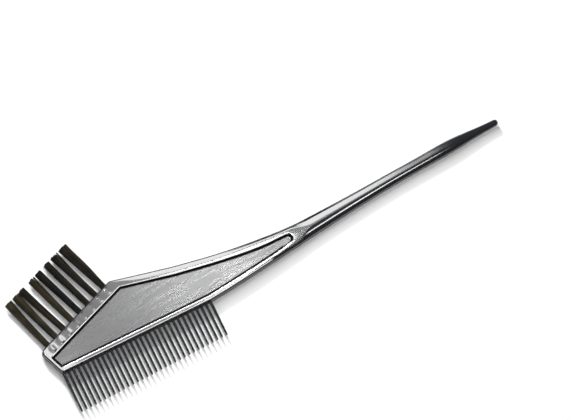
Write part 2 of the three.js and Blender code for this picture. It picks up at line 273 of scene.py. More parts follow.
@dataclass(frozen=True)
class HeadPlan:
    """Plan of the head and shaft, the same as the CAD model's."""

    row: Row
    end_length: float = 12.8
    bar_length: float = 41.6
    first_tuft_inset: float = 3.1
    comb_tilt: float = math.radians(-4.1)
    comb_length: float = 68.4
    upper_tilt: float = math.radians(-17.3)
    upper_straight: float = 27
    end_radius: float = 2.2
    bar_radius: float = 1.3
    comb_radius: float = 1.4
    neck_x: float = 110.8
    tail_x: float = 209.3
    tail_width: float = 5.75
    tail_thickness: float = 4.9
    bow: float = 1.82
    tip_radius: float = 1.4
    # Place along the shaft, width, arch and thickness, as shares of the sizes above
    shaft_shares: tuple[tuple[float, float, float, float], ...] = (
        (0.0, 1.62, 0.88, 1.06),
        (0.13, 1.4, 0.89, 1.05),
        (0.26, 1.2, 0.94, 1.03),
        (0.38, 1.08, 0.98, 1.0),
        (0.5, 1.01, 1.0, 0.98),
        (0.62, 0.98, 0.93, 0.98),
        (0.74, 1.0, 0.88, 1.0),
        (0.8, 0.92, 0.82, 0.96),
        (0.865, 0.73, 0.7, 0.82),
        (0.925, 0.58, 0.53, 0.67),
    )
    # The long edges between their straight stretches and the shaft: forth and across
    upper_flank_shares: tuple[tuple[float, float], ...] = ((0.37, 0.47), (0.7, 0.79))
    lower_flank_shares: tuple[tuple[float, float], ...] = ((0.25, 0.14), (0.53, 0.44), (0.8, 0.78))

    @cached_property
    def bar_direction(self) -> Vector:
        """Along the bristle bar, towards the neck."""
        return -self.row.to_end

    @cached_property
    def comb_direction(self) -> Vector:
        """Along the comb edge, towards the neck."""
        return heading(self.comb_tilt)

    @cached_property
    def upper_direction(self) -> Vector:
        """Along the straight slope behind the bar, towards the neck."""
        return heading(self.upper_tilt)

    @cached_property
    def comb_corner(self) -> Vector:
        """The plan's origin."""
        return Vector((0.0, 0.0))

    @cached_property
    def end_corner(self) -> Vector:
        """Corner between the head's end and the bar."""
        return self.comb_corner + self.row.out * self.end_length

    @cached_property
    def bar_corner(self) -> Vector:
        """Corner between the bar and the upper slope."""
        return self.end_corner + self.bar_direction * self.bar_length

    @cached_property
    def first_tuft(self) -> Vector:
        """Where the first tuft's axis crosses the bar's parting line."""
        return self.bar_corner - self.bar_direction * self.first_tuft_inset

    @cached_property
    def comb_end(self) -> Vector:
        """End of the straight comb edge."""
        return self.comb_corner + self.comb_direction * self.comb_length

    @cached_property
    def upper_end(self) -> Vector:
        """End of the straight upper slope."""
        return self.bar_corner + self.upper_direction * self.upper_straight

    @cached_property
    def tail_end(self) -> Vector:
        """Centre of the tail's round tip."""
        return Vector((self.tail_x - self.tip_radius, self.tip_radius / 2))

    @cached_property
    def origin(self) -> Vector:
        """The comb corner at mid thickness.

        Returns:
            The place in the frame, in millimetres.
        """
        low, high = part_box("handle")
        shift = self.row.start - self.first_tuft
        return Vector((shift.x, shift.y, (low.z + high.z) / (2 * MM)))

    @cached_property
    def thickness(self) -> float:
        """Thickness of the head, from the frame."""
        low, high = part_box("handle")
        return (high.z - low.z) / MM

    def shaft_points(self, side: float) -> list[Vector]:
        """Edge points of the shaft at its stations.

        Args:
            side: +1 for the tuft side, -1 for the comb side.

        Returns:
            Plan points from the neck to the tail's tip.
        """
        length, half = self.tail_x - self.neck_x, self.tail_width / 2
        points = [
            Vector((self.neck_x + place * length, arch * self.bow + side * width * half))
            for place, width, arch, _ in self.shaft_shares
        ]
        return [*points, self.tail_end + Vector((0.0, side * self.tip_radius))]

    def flank(self, side: float) -> list[Vector]:
        """Points of a long edge between its straight stretch and the shaft.

        Args:
            side: +1 for the tuft side, -1 for the comb side.

        Returns:
            Plan points from the head to the neck.
        """
        start = self.upper_end if side > 0 else self.comb_end
        shares = self.upper_flank_shares if side > 0 else self.lower_flank_shares
        goal = self.shaft_points(side)[0]
        return [
            Vector((mix(start.x, goal.x, forth), mix(start.y, goal.y, across)))
            for forth, across in shares
        ]

    def long_edge(self, side: float) -> Spline:
        """The long edge of a side, +1 or -1, from its straight stretch to the tail's tip."""
        start = self.upper_end if side > 0 else self.comb_end
        return Spline([start, *self.flank(side), *self.shaft_points(side)])

    def half_thickness(self) -> Spline:
        """Half the shaft's thickness along X.

        Returns:
            A curve whose Y is half the thickness.
        """
        length = self.tail_x - self.neck_x
        points = [
            Vector((self.neck_x + place * length, thick * self.tail_thickness / 2))
            for place, _, _, thick in self.shaft_shares
        ]
        return Spline([*points, Vector((self.tail_end.x, self.tip_radius))])


class Edge(Enum):
    """Which part of the outline a point belongs to."""

    HEAD = "head"
    SHAFT = "shaft"
    TIP = "tip"


@dataclass
class EdgePoint:
    """One point of the parting line, with what its section needs.

    Attributes:
        place: Plan place of the point.
        kind: Part of the outline that it belongs to.
        side: +1 on the tuft side, -1 on the comb side and 0 elsewhere.
        inward: Plan direction into the part, as long as its mitre needs.
        half_width: Half the width of the shaft there.
    """

    place: Vector
    kind: Edge
    side: float = 0.0
    inward: Vector = field(default_factory=lambda: Vector((0.0, 0.0)))
    half_width: float = 0.0


@dataclass
class Handle:
    """The moulded handle without its comb: head, sunk panels, bristle bar, shaft and tail."""

    plan: HeadPlan
    # Section of the head, from the parting line up
    ridge_height: float = 0.105  # thin line where the mould's halves met
    ridge_depth: float = 0.13
    wall_draft: float = 0.26
    shoulder_radius: float = 0.3
    edge_radius: float = 0.12
    # Width and drop of the bevel over the wall: along the comb, at the head's end, and along
    # the bar and the upper edge
    comb_bevel: tuple[float, float] = (0.72, 0.19)
    end_bevel: tuple[float, float] = (0.9, 0.29)
    bar_bevel: tuple[float, float] = (0.54, 0.36)
    # Cosines between which the bevel changes over to the comb's, and to the bar's
    facing_comb: tuple[float, float] = (0.5, 0.95)
    facing_bar: tuple[float, float] = (0.15, 0.8)
    mitre_limit: float = 0.5  # least cosine that a mitre is worked out with
    corner_steps: int = 3
    crown_rings: int = 8
    crown_spacing: float = 0.012
    slope_width: float = 2.1  # rounded slope of the rim behind the bar
    slope_drop: float = 0.3
    neck_slope: float = 0.45  # share of the slope's width that is left at the neck
    narrowing: tuple[float, float] = (41.6, 8.0)  # how far before the neck that starts and ends
    lower_slope_width: float = 0.6  # the comb side's slope, at the neck only
    # Section of the shaft, as shares of half its width and half its thickness
    shaft_foot: tuple[tuple[float, float], ...] = ((0.0, 0.0), (0.0, 0.02), (0.028, 0.042))
    shaft_wall_in: float = 0.13
    shaft_wall_up: float = 0.62
    shaft_shoulder: tuple[float, float] = (0.94, 0.92)  # just under that wall's top, over it
    # Where the chamfer over the wall meets the crown, and how the crown falls from its middle
    upper_bend: tuple[float, float, float] = (0.36, 0.88, 1.6)
    lower_bend: tuple[float, float, float] = (0.45, 0.87, 2.0)
    turning_length: float = 26
    closing_length: float = 10  # behind the panel, where the rims close to a crown
    # Sunk panel
    bar_depth: float = 5.1
    end_rim: float = 1.95
    comb_rim: float = 2.25
    upper_rim: float = 3.65
    neck_rim: float = 2.3
    panel_end_radius: float = 2.0
    panel_recess: float = 1.2
    panel_draft: float = 0.35
    panel_corner_radius: float = 0.8
    least_corner_radius: float = 0.16
    panel_bevel: float = 0.45
    panel_bevel_tilt: float = math.radians(14.5)
    panel_foot_radius: float = 0.7
    flat_enough: float = 0.99  # the upright part of a floor face's normal
    # Sink marks in the bar over the tuft holes
    sink_depth: float = 0.08
    sink_cuts: int = 8  # cuts across the bar for each tuft
    sink_lanes: int = 8  # cuts along the bar
    sink_power: float = 1.5  # higher for narrower marks
    sink_fade: float = 1.0
    hole_radius: float = 1.35
    hole_depth: float = 4.3
    hole_sides: int = 28
    sampling: float = 1.0  # spacing of the outline's points on curved edges

    def __post_init__(self) -> None:
        """Prepares the curves that the sections read."""
        self.lower = self.plan.long_edge(-1)
        self.upper = self.plan.long_edge(1)
        self.shaft_half = self.plan.half_thickness()
        self.half = self.plan.thickness / 2

    def outline(self) -> list[EdgePoint]:
        """The parting line, counter-clockwise seen from above.

        Returns:
            Points in order, with their inward directions.
        """
        plan, corner_steps, tip_steps, straight_steps = self.plan, 8, 10, 6
        forth = steps_between(math.ceil(plan.comb_end.x) + 1, plan.tail_end.x, self.sampling)
        points = [
            EdgePoint(p, Edge.HEAD)
            for p in rounded_corner(
                plan.end_corner, plan.comb_corner, plan.comb_end, plan.comb_radius, corner_steps
            )
        ]
        points.append(EdgePoint(plan.comb_end.copy(), Edge.HEAD, -1))
        points += [EdgePoint(self.lower.at(x), Edge.SHAFT, -1) for x in forth]
        for i in range(tip_steps + 1):
            angle = math.pi * (i / tip_steps - 1 / 2)
            points.append(EdgePoint(plan.tail_end + heading(angle) * plan.tip_radius, Edge.TIP))
        points += [EdgePoint(self.upper.at(x), Edge.SHAFT, 1) for x in reversed(forth)]
        before = steps_between(plan.upper_end.x, forth[0], self.sampling)
        points += [EdgePoint(self.upper.at(x), Edge.HEAD, 1) for x in reversed(before)]
        spacing = plan.upper_straight / straight_steps
        straight = steps_between(0, plan.upper_straight - plan.bar_radius, spacing)
        for s in straight[1:]:
            points.append(EdgePoint(plan.upper_end - plan.upper_direction * s, Edge.HEAD, 1))
        for corner, low, high, radius in (
            (plan.bar_corner, plan.upper_end, plan.end_corner, plan.bar_radius),
            (plan.end_corner, plan.bar_corner, plan.comb_corner, plan.end_radius),
        ):
            arc = rounded_corner(low, corner, high, radius, corner_steps)
            points += [EdgePoint(p, Edge.HEAD) for p in arc]
        self._point_inwards(points)
        return points

    def _point_inwards(self, points: list[EdgePoint]) -> None:
        """Gives each outline point its inward direction and the shaft's half width.

        Args:
            points: The outline's points in order.
        """
        count = len(points)
        for i, point in enumerate(points):
            before, after = points[i - 1].place, points[(i + 1) % count].place
            into_a = left_of((point.place - before).normalized())
            into_b = left_of((after - point.place).normalized())
            mean = (into_a + into_b).normalized()
            point.inward = mean / max(mean.dot(into_b), self.mitre_limit)
            if point.kind is Edge.SHAFT:
                x = point.place.x
                point.half_width = (self.upper.at(x).y - self.lower.at(x).y) / 2
                aligned = smooth_step(x, self.plan.neck_x - self.turning_length, self.plan.neck_x)
                point.inward = point.inward.lerp(Vector((0.0, -point.side)), aligned)

    def head_section(self, slope: float, width: float, bevel: Vector) -> list[tuple[float, float]]:
        """Section of the head from the parting line to the flat rim.

        Args:
            slope: 0 for a plain flat rim, up to 1 for a rim that is rounded off outwards.
            width: How wide that rounded slope is.
            bevel: Width and drop of the bevel over the side wall.

        Returns:
            How far in and how far up, for each ring.
        """
        sunk = self.slope_drop * slope
        top = self.half - sunk
        foot = Vector((self.ridge_depth, self.ridge_height))
        shoulder = Vector((self.wall_draft, top - bevel.y))
        edge = Vector((self.wall_draft + bevel.x, top))
        rim = edge + Vector((1.0, 0.0))
        rows = [(0.0, 0.0), (0.0, self.ridge_height / 2), tuple(foot)]
        room = min(self.shoulder_radius, bevel.x / 2)
        for before, corner, after, radius in (
            (foot, shoulder, edge, room),
            (shoulder, edge, rim, self.edge_radius),
        ):
            arc = rounded_corner(before, corner, after, radius, self.corner_steps)
            rows += [tuple(p) for p in arc]
        start = rows[-1][0]
        for i in range(1, self.crown_rings + 1):
            share = i / self.crown_rings
            across = mix(self.crown_spacing * i, width * share, slope)
            rows.append((start + across, self.half - sunk * (1 - share) ** 2))
        return rows

    def shaft_section(self, bend: tuple[float, float, float]) -> list[tuple[float, float]]:
        """Section of the shaft from the parting line to the middle of its crown.

        Args:
            bend: Where the chamfer meets the crown, and how the crown falls from its middle.

        Returns:
            Shares of half the width and of half the thickness, for each ring.
        """
        wall_in, wall_up = self.shaft_wall_in, self.shaft_wall_up
        shoulder_in, shoulder_up = self.shaft_shoulder
        bend_in, bend_up, power = bend
        rows = [*self.shaft_foot, (wall_in * shoulder_in, wall_up * shoulder_up)]
        chamfer_steps = 2 * self.corner_steps
        for i in range(chamfer_steps + 1):
            share = i / chamfer_steps
            rows.append((mix(wall_in, bend_in, share), mix(wall_up, bend_up, share)))
        for i in range(1, self.crown_rings + 1):
            share = i / self.crown_rings
            rows.append((mix(bend_in, 1.0, share), 1 - (1 - bend_up) * (1 - share) ** power))
        return rows

    def slope_at(self, point: EdgePoint) -> float:
        """How far the rim is rounded off at an outline point.

        Args:
            point: The outline point.

        Returns:
            0 for a plain rim, up to 1 for a fully rounded one.
        """
        if point.side == 0:
            return 0.0
        x, start, neck = point.place.x, self.plan.bar_corner.x, self.plan.neck_x
        if point.side < 0:
            return smooth_step(x, neck - self.turning_length, neck)
        return smooth_step(x, start, start + self.plan.upper_straight / 2)

    def slope_width_at(self, point: EdgePoint) -> float:
        """Width of the rim's rounded slope at an outline point.

        Args:
            point: The outline point.

        Returns:
            The width, before the share that slope_at gives.
        """
        if point.side < 0:
            return self.lower_slope_width
        low, high = (self.plan.neck_x - reach for reach in self.narrowing)
        return self.slope_width * mix(1.0, self.neck_slope, smooth_step(point.place.x, low, high))

    def bevel_at(self, point: EdgePoint) -> Vector:
        """The bevel over the wall at an outline point.

        Args:
            point: The outline point.

        Returns:
            Width and drop of the bevel.
        """
        inward = point.inward.normalized()
        at_comb = smooth_step(inward.dot(left_of(self.plan.comb_direction)), *self.facing_comb)
        at_bar = smooth_step(-inward.dot(self.plan.row.out), *self.facing_bar)
        bevel = Vector(self.end_bevel).lerp(Vector(self.comb_bevel), at_comb)
        return bevel.lerp(Vector(self.bar_bevel), at_bar)

    def ring(self, points: list[EdgePoint], step: int) -> list[Vector]:
        """Places of one ring of the handle's upper half.

        Args:
            points: The outline's points in order.
            step: Number of the ring, from the parting line up.

        Returns:
            A place for each outline point.
        """
        sections = [self.shaft_section(bend)[step] for bend in (self.upper_bend, self.lower_bend)]
        neck, places = self.plan.neck_x, []
        for point in points:
            crown_in, crown_up = sections[point.side < 0]
            if point.kind is Edge.TIP:
                spot = point.place.lerp(self.plan.tail_end, crown_in)
                places.append(Vector((spot.x, spot.y, crown_up * self.plan.tip_radius)))
                continue
            x = point.place.x
            section = self.head_section(
                self.slope_at(point), self.slope_width_at(point), self.bevel_at(point)
            )
            head_in, head_up = section[step]
            turned = smooth_step(x, neck - self.turning_length / 2, neck + self.closing_length)
            closed = smooth_step(x, neck, neck + self.closing_length)
            across = mix(head_in, crown_in * point.half_width, closed)
            up = mix(head_up, crown_up * self.shaft_half.at(x).y, turned)
            spot = point.place + point.inward * across
            places.append(Vector((spot.x, spot.y, up)))
        return places

    def panel_outline(self, inset: float) -> list[Vector]:
        """Outline of the sunk panel, moved inwards by an inset.

        Args:
            inset: How far inwards it is moved.

        Returns:
            Plan points in order, counter-clockwise.
        """
        plan, corner_steps, curve_steps, cap_steps = self.plan, 6, 26, 14
        out, bar = plan.row.out, plan.bar_direction
        comb, upper = plan.comb_direction, plan.upper_direction
        comb_line = plan.comb_corner + left_of(comb) * (self.comb_rim + inset)
        end_line = plan.comb_corner + bar * (self.end_rim + inset)
        bar_line = plan.end_corner - out * (self.bar_depth + inset)
        upper_line = plan.bar_corner - left_of(upper) * (self.upper_rim + inset)
        low = crossing(comb_line, comb, end_line, out)
        end = crossing(end_line, out, bar_line, bar)
        high = crossing(bar_line, bar, upper_line, upper)
        comb_foot = plan.comb_end + left_of(comb) * (self.comb_rim + inset)
        upper_foot = plan.upper_end - left_of(upper) * (self.upper_rim + inset)
        neck_top, neck_foot = plan.shaft_points(1)[0].y, plan.shaft_points(-1)[0].y
        cap = Vector((plan.neck_x - self.neck_rim, (neck_top + neck_foot) / 2))
        up, cap_radius = Vector((0.0, 1.0)), self.panel_end_radius - inset
        lower_flank = [p + up * (self.comb_rim + inset) for p in plan.flank(-1)]
        higher_flank = [p - up * (self.upper_rim + inset) for p in plan.flank(1)]
        lower = Spline([comb_foot, *lower_flank, cap - up * cap_radius])
        higher = Spline([upper_foot, *higher_flank, cap + up * cap_radius])
        radius = max(self.panel_corner_radius - inset, self.least_corner_radius)
        lower_forth = [mix(comb_foot.x, cap.x, i / curve_steps) for i in range(curve_steps)]
        higher_forth = [mix(cap.x, upper_foot.x, (i + 1) / curve_steps) for i in range(curve_steps)]
        angles = [math.pi * (i / cap_steps - 1 / 2) for i in range(cap_steps + 1)]
        arc = [cap + heading(angle) * cap_radius for angle in angles]
        return [
            *rounded_corner(end, low, comb_foot, radius, corner_steps),
            *[lower.at(x) for x in lower_forth],
            *arc,
            *[higher.at(x) for x in higher_forth],
            *rounded_corner(upper_foot, high, end, radius, corner_steps),
            *rounded_corner(high, end, low, radius, corner_steps),
        ]

    def pocket_section(self) -> list[tuple[float, float]]:
        """Section of the sunk panel's edge.

        Returns:
            Inset from the panel's outline, and height, for each ring.
        """
        floor = self.half - self.panel_recess
        mouth = Vector((-self.panel_bevel, self.half))
        lip = Vector((0.0, self.half - self.panel_bevel * math.tan(self.panel_bevel_tilt)))
        foot = Vector((self.panel_draft, floor))
        rows = [(-self.panel_bevel - self.edge_radius, self.half)]
        corners = (
            (mouth - Vector((1.0, 0.0)), mouth, lip, self.edge_radius),
            (mouth, lip, foot, self.edge_radius / 2),
            (lip, foot, foot + Vector((1.0, 0.0)), self.panel_foot_radius),
        )
        for before, corner, after, radius in corners:
            arc = rounded_corner(before, corner, after, radius, self.corner_steps + 1)
            rows += [tuple(p) for p in arc]
        rows.append((rows[-1][0] + self.panel_foot_radius / 2, floor))
        return rows

    def upper_half(self, bm: BMesh) -> None:
        """Lofts the handle's upper half, open at the parting line.

        Args:
            bm: The mesh to build in.
        """
        points = self.outline()
        sections = len(self.shaft_section(self.upper_bend))
        ring = first_ring(bm, self.ring(points, 0))
        for step in range(1, sections):
            ring = next_ring(bm, ring, self.ring(points, step))
        inner = set(ring)
        rim = [e for e in bm.edges if e.is_boundary and inner.issuperset(e.verts)]
        crown = {v for e in rim for v in e.verts}
        bmesh.ops.remove_doubles(bm, verts=list(crown), dist=MM)
        rim = [e for e in bm.edges if e.is_boundary and all(v.co.z > MM for v in e.verts)]
        rows = self.pocket_section()
        places = [[Vector((p.x, p.y, up)) for p in self.panel_outline(inset)] for inset, up in rows]
        pocket = first_ring(bm, places[0])
        mouth = ring_edges(bm, pocket)
        for spots in places[1:]:
            pocket = next_ring(bm, pocket, spots)
        bmesh.ops.triangle_fill(bm, edges=ring_edges(bm, pocket), use_beauty=True, normal=(0, 0, 1))
        bmesh.ops.triangle_fill(bm, edges=rim + mouth, use_beauty=True, normal=(0, 0, 1))

    def in_row(self, place: Vector) -> Vector:
        """How far a place lies along the row from the first tuft, and into the bar."""
        row, gap = self.plan.row, place.to_2d() - self.plan.first_tuft
        return Vector((gap.dot(row.to_end), -gap.dot(row.out)))

    def sink_marks(self, bm: BMesh) -> None:
        """Cuts the bar's flat top finely and lowers it a little over each tuft hole.

        Args:
            bm: The handle's upper half, in plan millimetres.
        """
        row = self.plan.row
        half_pitch, last = row.pitch / 2, (row.tuft_count - 1) * row.pitch
        inner, outer = self.wall_draft + self.bar_bevel[0], self.bar_depth - self.panel_bevel

        def top_of_bar() -> list[BMVert | BMEdge | bmesh.types.BMFace]:
            """What the bar's flat top is made of.

            Returns:
                Faces, edges and vertices, as bisect_plane takes them.
            """
            faces = [
                f
                for f in bm.faces
                if min(v.co.z for v in f.verts) > self.half - MM
                and inner < self.in_row(f.calc_center_median()).y < outer + half_pitch
            ]
            edges = {e for f in faces for e in f.edges}
            return [*faces, *edges, *{v for f in faces for v in f.verts}]

        count = self.sink_cuts * (row.tuft_count + 1)
        across = [mix(-1.0, row.tuft_count, (i + 1 / 2) / count) * row.pitch for i in range(count)]
        inwards = [mix(inner, outer, (i + 1 / 2) / self.sink_lanes) for i in range(self.sink_lanes)]
        planes = [(row.to_end * s, row.to_end) for s in across]
        planes += [(row.out * -s, row.out) for s in inwards]
        for gap, normal in planes:
            spot = self.plan.first_tuft + gap
            bmesh.ops.bisect_plane(
                bm, geom=top_of_bar(), dist=MM, plane_co=(*spot, 0), plane_no=(*normal, 0)
            )
        for vert in {v for v in top_of_bar() if isinstance(v, BMVert)}:
            spot = self.in_row(vert.co)
            window = smooth_step(spot.y, inner, inner + self.sink_fade)
            window *= 1 - smooth_step(spot.y, outer - self.sink_fade, outer)
            window *= smooth_step(spot.x, -half_pitch, 0)
            window *= 1 - smooth_step(spot.x, last, last + half_pitch)
            wave = (1 + math.cos(2 * math.pi * spot.x / row.pitch)) / 2
            vert.co.z -= self.sink_depth * wave**self.sink_power * window

    def drill(self, piece: Object) -> None:
        """Bores a blind hole into the bar's edge for each tuft.

        Args:
            piece: The handle in the frame.
        """
        plan = self.plan
        bm = bmesh.new()
        out = Vector((*plan.row.out, 0.0))
        turn = out.to_track_quat("Z", "Y").to_matrix().to_4x4()
        for tuft in range(plan.row.tuft_count):
            middle = plan.row.start + plan.row.to_end * plan.row.pitch * tuft
            spot = Vector((*middle, plan.origin.z))
            bmesh.ops.create_cone(
                bm,
                cap_ends=True,
                segments=self.hole_sides,
                radius1=self.hole_radius * MM,
                radius2=self.hole_radius * MM,
                depth=2 * self.hole_depth * MM,
                matrix=Matrix.Translation(spot * MM) @ turn,
            )
        drills = finish_mesh(bm, "drills")
        cut = piece.modifiers.new("tuft_holes", "BOOLEAN")
        cut.operation = "DIFFERENCE"
        cut.solver = "EXACT"
        cut.object = drills
        mesh = drawn_mesh(piece)
        piece.modifiers.clear()
        piece.data = mesh
        bpy.data.objects.remove(drills)

    def build(self) -> Object:
        """Builds the handle and puts it in its place in the frame.

        Returns:
            The piece, with its finishes marked.
        """
        bm = bmesh.new()
        self.upper_half(bm)
        self.sink_marks(bm)
        bmesh.ops.mirror(bm, geom=[*bm.verts, *bm.edges, *bm.faces], axis="Z", merge_dist=MM)
        bmesh.ops.recalc_face_normals(bm, faces=bm.faces)
        seat(bm, self.plan.origin)
        piece = finish_mesh(bm, "handle_moulding")
        self.drill(piece)
        self.mark_finishes(piece)
        return piece

    def mark_finishes(self, piece: Object) -> None:
        """Marks the satin panels, and a darker, duller step round each of them as painted shade for
        the recess, beside the polished rims.

        Args:
            piece: The handle in the frame.
        """
        plan, section, outline = self.plan, self.pocket_section(), self.panel_outline(0.0)
        floor, lip = self.half - self.panel_recess, section[2 * (self.corner_steps + 2)][1]
        low, high = min(p.x for p in outline), max(p.x for p in outline)
        for face in piece.data.polygons:
            spot = face.center / MM - plan.origin
            height = abs(spot.z)
            if height > lip or not low < spot.x < high:
                continue
            edge = spot.x * math.tan(plan.comb_tilt)
            if spot.x > plan.comb_end.x:
                edge = self.lower.at(spot.x).y
            # Painted shade: the dark step covers a wider strip of the panel's floor beside the comb
            painted_shade_beside_comb = spot.y - edge < self.comb_rim + section[-1][0]
            if height < floor + MM and abs(face.normal.z) > self.flat_enough and not painted_shade_beside_comb:
                face.material_index = Finish.PANEL.value
            elif encloses(outline, spot.to_2d()):
                face.material_index = Finish.STEP.value

    def dress(self, handle: Object, finishes: dict[Finish, Material]) -> None:
        """Gives the handle a material for each finish and puts it over its node."""
        fit_out(handle, Slot.PLASTIC, *[finishes[finish] for finish in Finish])
        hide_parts("handle")


def encloses(outline: list[Vector], place: Vector) -> bool:
    """Whether a closed plan outline has a place inside it.

    Args:
        outline: Its corners in order.
        place: The place.

    Returns:
        True where the place is inside.
    """
    crossings = 0
    for a, b in zip(outline, [*outline[1:], outline[0]]):
        if (a.y > place.y) != (b.y > place.y):
            crossings += place.x < mix(a.x, b.x, (place.y - a.y) / (b.y - a.y))
    return crossings % 2 == 1


def seat(bm: BMesh, origin: Vector) -> None:
    """Moves a mesh from the plan, in millimetres, to its place in the frame, in metres."""
    bmesh.ops.translate(bm, verts=bm.verts, vec=origin)
    bmesh.ops.scale(bm, verts=bm.verts, vec=(MM, MM, MM))


def add_object(name: str, data: bpy.types.ID) -> Object:
    """Puts a new object in the scene.

    Args:
        name: Its name.
        data: Its mesh, curve, light or camera.

    Returns:
        The object.
    """
    thing = bpy.data.objects.new(name, data)
    bpy.context.scene.collection.objects.link(thing)
    return thing


def finish_mesh(bm: BMesh, name: str) -> Object:
    """Turns a bmesh into a smooth-shaded object in the scene.

    Args:
        bm: The mesh in the frame, which is freed.
        name: Name of the mesh and the object.

    Returns:
        The object.
    """
    mesh = bpy.data.meshes.new(name)
    bm.to_mesh(mesh)
    bm.free()
    mesh.shade_smooth()
    return add_object(name, mesh)


def drawn_mesh(piece: Object) -> bpy.types.Mesh:
    """A new mesh of what a piece's modifiers, or its curves, come out as."""
    shape = piece.evaluated_get(bpy.context.evaluated_depsgraph_get())
    return bpy.data.meshes.new_from_object(shape)


def fit_out(piece: Object, slot: Slot, *materials: Material) -> None:
    """Gives a new piece its materials and its body.

    Args:
        piece: The piece.
        slot: Slot of the record that it belongs to; not used.
        materials: Its materials in order.
    """
    for material in materials:
        piece.data.materials.append(material)
    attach(piece, BODY)
    log.info("%s: %d faces", piece.name, len(piece.data.polygons))


@dataclass
class Comb:
    """The comb: a row of oval teeth with round tips along the head's lower edge."""

    plan: HeadPlan
    count: int = 32
    pitch: float = 2.17
    first_inset: float = 0.62
    first_length: float = 17.7
    last_length: float = 15.5
    width: float = 1.12
    tip_width: float = 0.8
    thickness: float = 2.7
    lean: float = math.radians(-0.9)
    end_share: float = 1.2
    bury: float = 1.2
    # A quarter of a tooth's section: a roof with a narrow ridge on an upright side
    quarter: tuple[tuple[float, float], ...] = ((1.0, 0.0), (1.0, 0.66), (0.9, 0.8), (0.2, 0.965))

    def section(self, half_width: float, half_thickness: float, reach: float) -> list[Vector]:
        """One ring round a tooth.

        Args:
            half_width: Half its width there.
            half_thickness: Half its thickness there.
            reach: Distance from the root.

        Returns:
            Places in order round the tooth.
        """
        right = [*self.quarter, (0.0, 1.0)]
        left = [(-across, up) for across, up in reversed(self.quarter)]
        upper = [*right, *left]
        lower = [(-across, -up) for across, up in upper[1:-1]]
        ring = [*upper, *lower]
        return [Vector((across * half_width, -reach, up * half_thickness)) for across, up in ring]

    def tooth(self, bm: BMesh, length: float, share: float, place: Matrix) -> None:
        """Builds one tooth that points along -Y from its root, then puts it in place.

        Args:
            bm: The mesh to build in.
            length: Length from the parting line to the tip.
            share: Width at its root, over the usual width.
            place: Its place on the comb edge.
        """
        root, tip, steps = self.width * share / 2, self.tip_width / 2, 4
        tall = self.thickness / self.width / share
        straight = length - tip
        rows = [(-self.bury, root), (0.0, root)]
        for i in range(1, steps + 1):
            rows.append((mix(0, straight, i / steps), mix(root, tip, i / steps)))
        for i in range(1, steps):
            angle = math.pi / 2 * i / steps
            rows.append((straight + tip * math.sin(angle), tip * math.cos(angle)))
        rings = [self.section(half, half * tall, reach) for reach, half in rows]
        ring = first_ring(bm, rings[0])
        made = [*ring]
        bmesh.ops.contextual_create(bm, geom=ring_edges(bm, ring))
        for places in rings[1:]:
            ring = next_ring(bm, ring, places)
            made += ring
        end = bmesh.ops.extrude_edge_only(bm, edges=ring_edges(bm, ring))["geom"]
        closing = [item for item in end if isinstance(item, BMVert)]
        for vert in closing:
            vert.co = Vector((0.0, -length, 0.0))
        made += closing
        bmesh.ops.transform(bm, matrix=place, verts=made)
        bmesh.ops.remove_doubles(bm, verts=closing, dist=MM)

    def build(self) -> Object:
        """Builds all the teeth.

        Returns:
            The piece.
        """
        plan = self.plan
        bm = bmesh.new()
        for i in range(self.count):
            length = mix(self.first_length, self.last_length, i / (self.count - 1))
            spot = plan.comb_corner + plan.comb_direction * (self.first_inset + i * self.pitch)
            turn = Matrix.Rotation(plan.comb_tilt + self.lean, 4, "Z")
            place = Matrix.Translation((*spot, 0.0)) @ turn
            self.tooth(bm, length, self.end_share if i == 0 else 1.0, place)
        bmesh.ops.recalc_face_normals(bm, faces=bm.faces)
        seat(bm, plan.origin)
        return finish_mesh(bm, "comb_teeth")

    def dress(self, comb: Object, rim: Material) -> None:
        """Gives the comb the rim's material and puts it over the handle's node."""
        fit_out(comb, Slot.PLASTIC, rim)
        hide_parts("handle")


@dataclass
class Tuft:
    """Shape of one tuft.

    Attributes:
        lean: How far its tip leans to the head's end, over the pitch.
        spread: How wide its tip is, over the pitch.
        warmth: How olive its fibres are, from 0 to 1.
        split: Where a slim strand parts from the rest at the tip, from -1 on the neck side to 1.
        gap: How far that strand stands off at the tip.
        bulge: How far its middle bows to the neck side.
        strays: Number of loose fibres beside it, on the side of the head's end.
    """

    lean: float
    spread: float
    warmth: float
    split: float = -1.0
    gap: float = 0.0
    bulge: float = 0.0
    strays: int = 0


@dataclass
class Wisp:
    """A few fibres that hold together: place in the tuft's disc, drift, length and colour."""

    middle: Vector
    drift: Vector
    shortness: float
    warmth: float


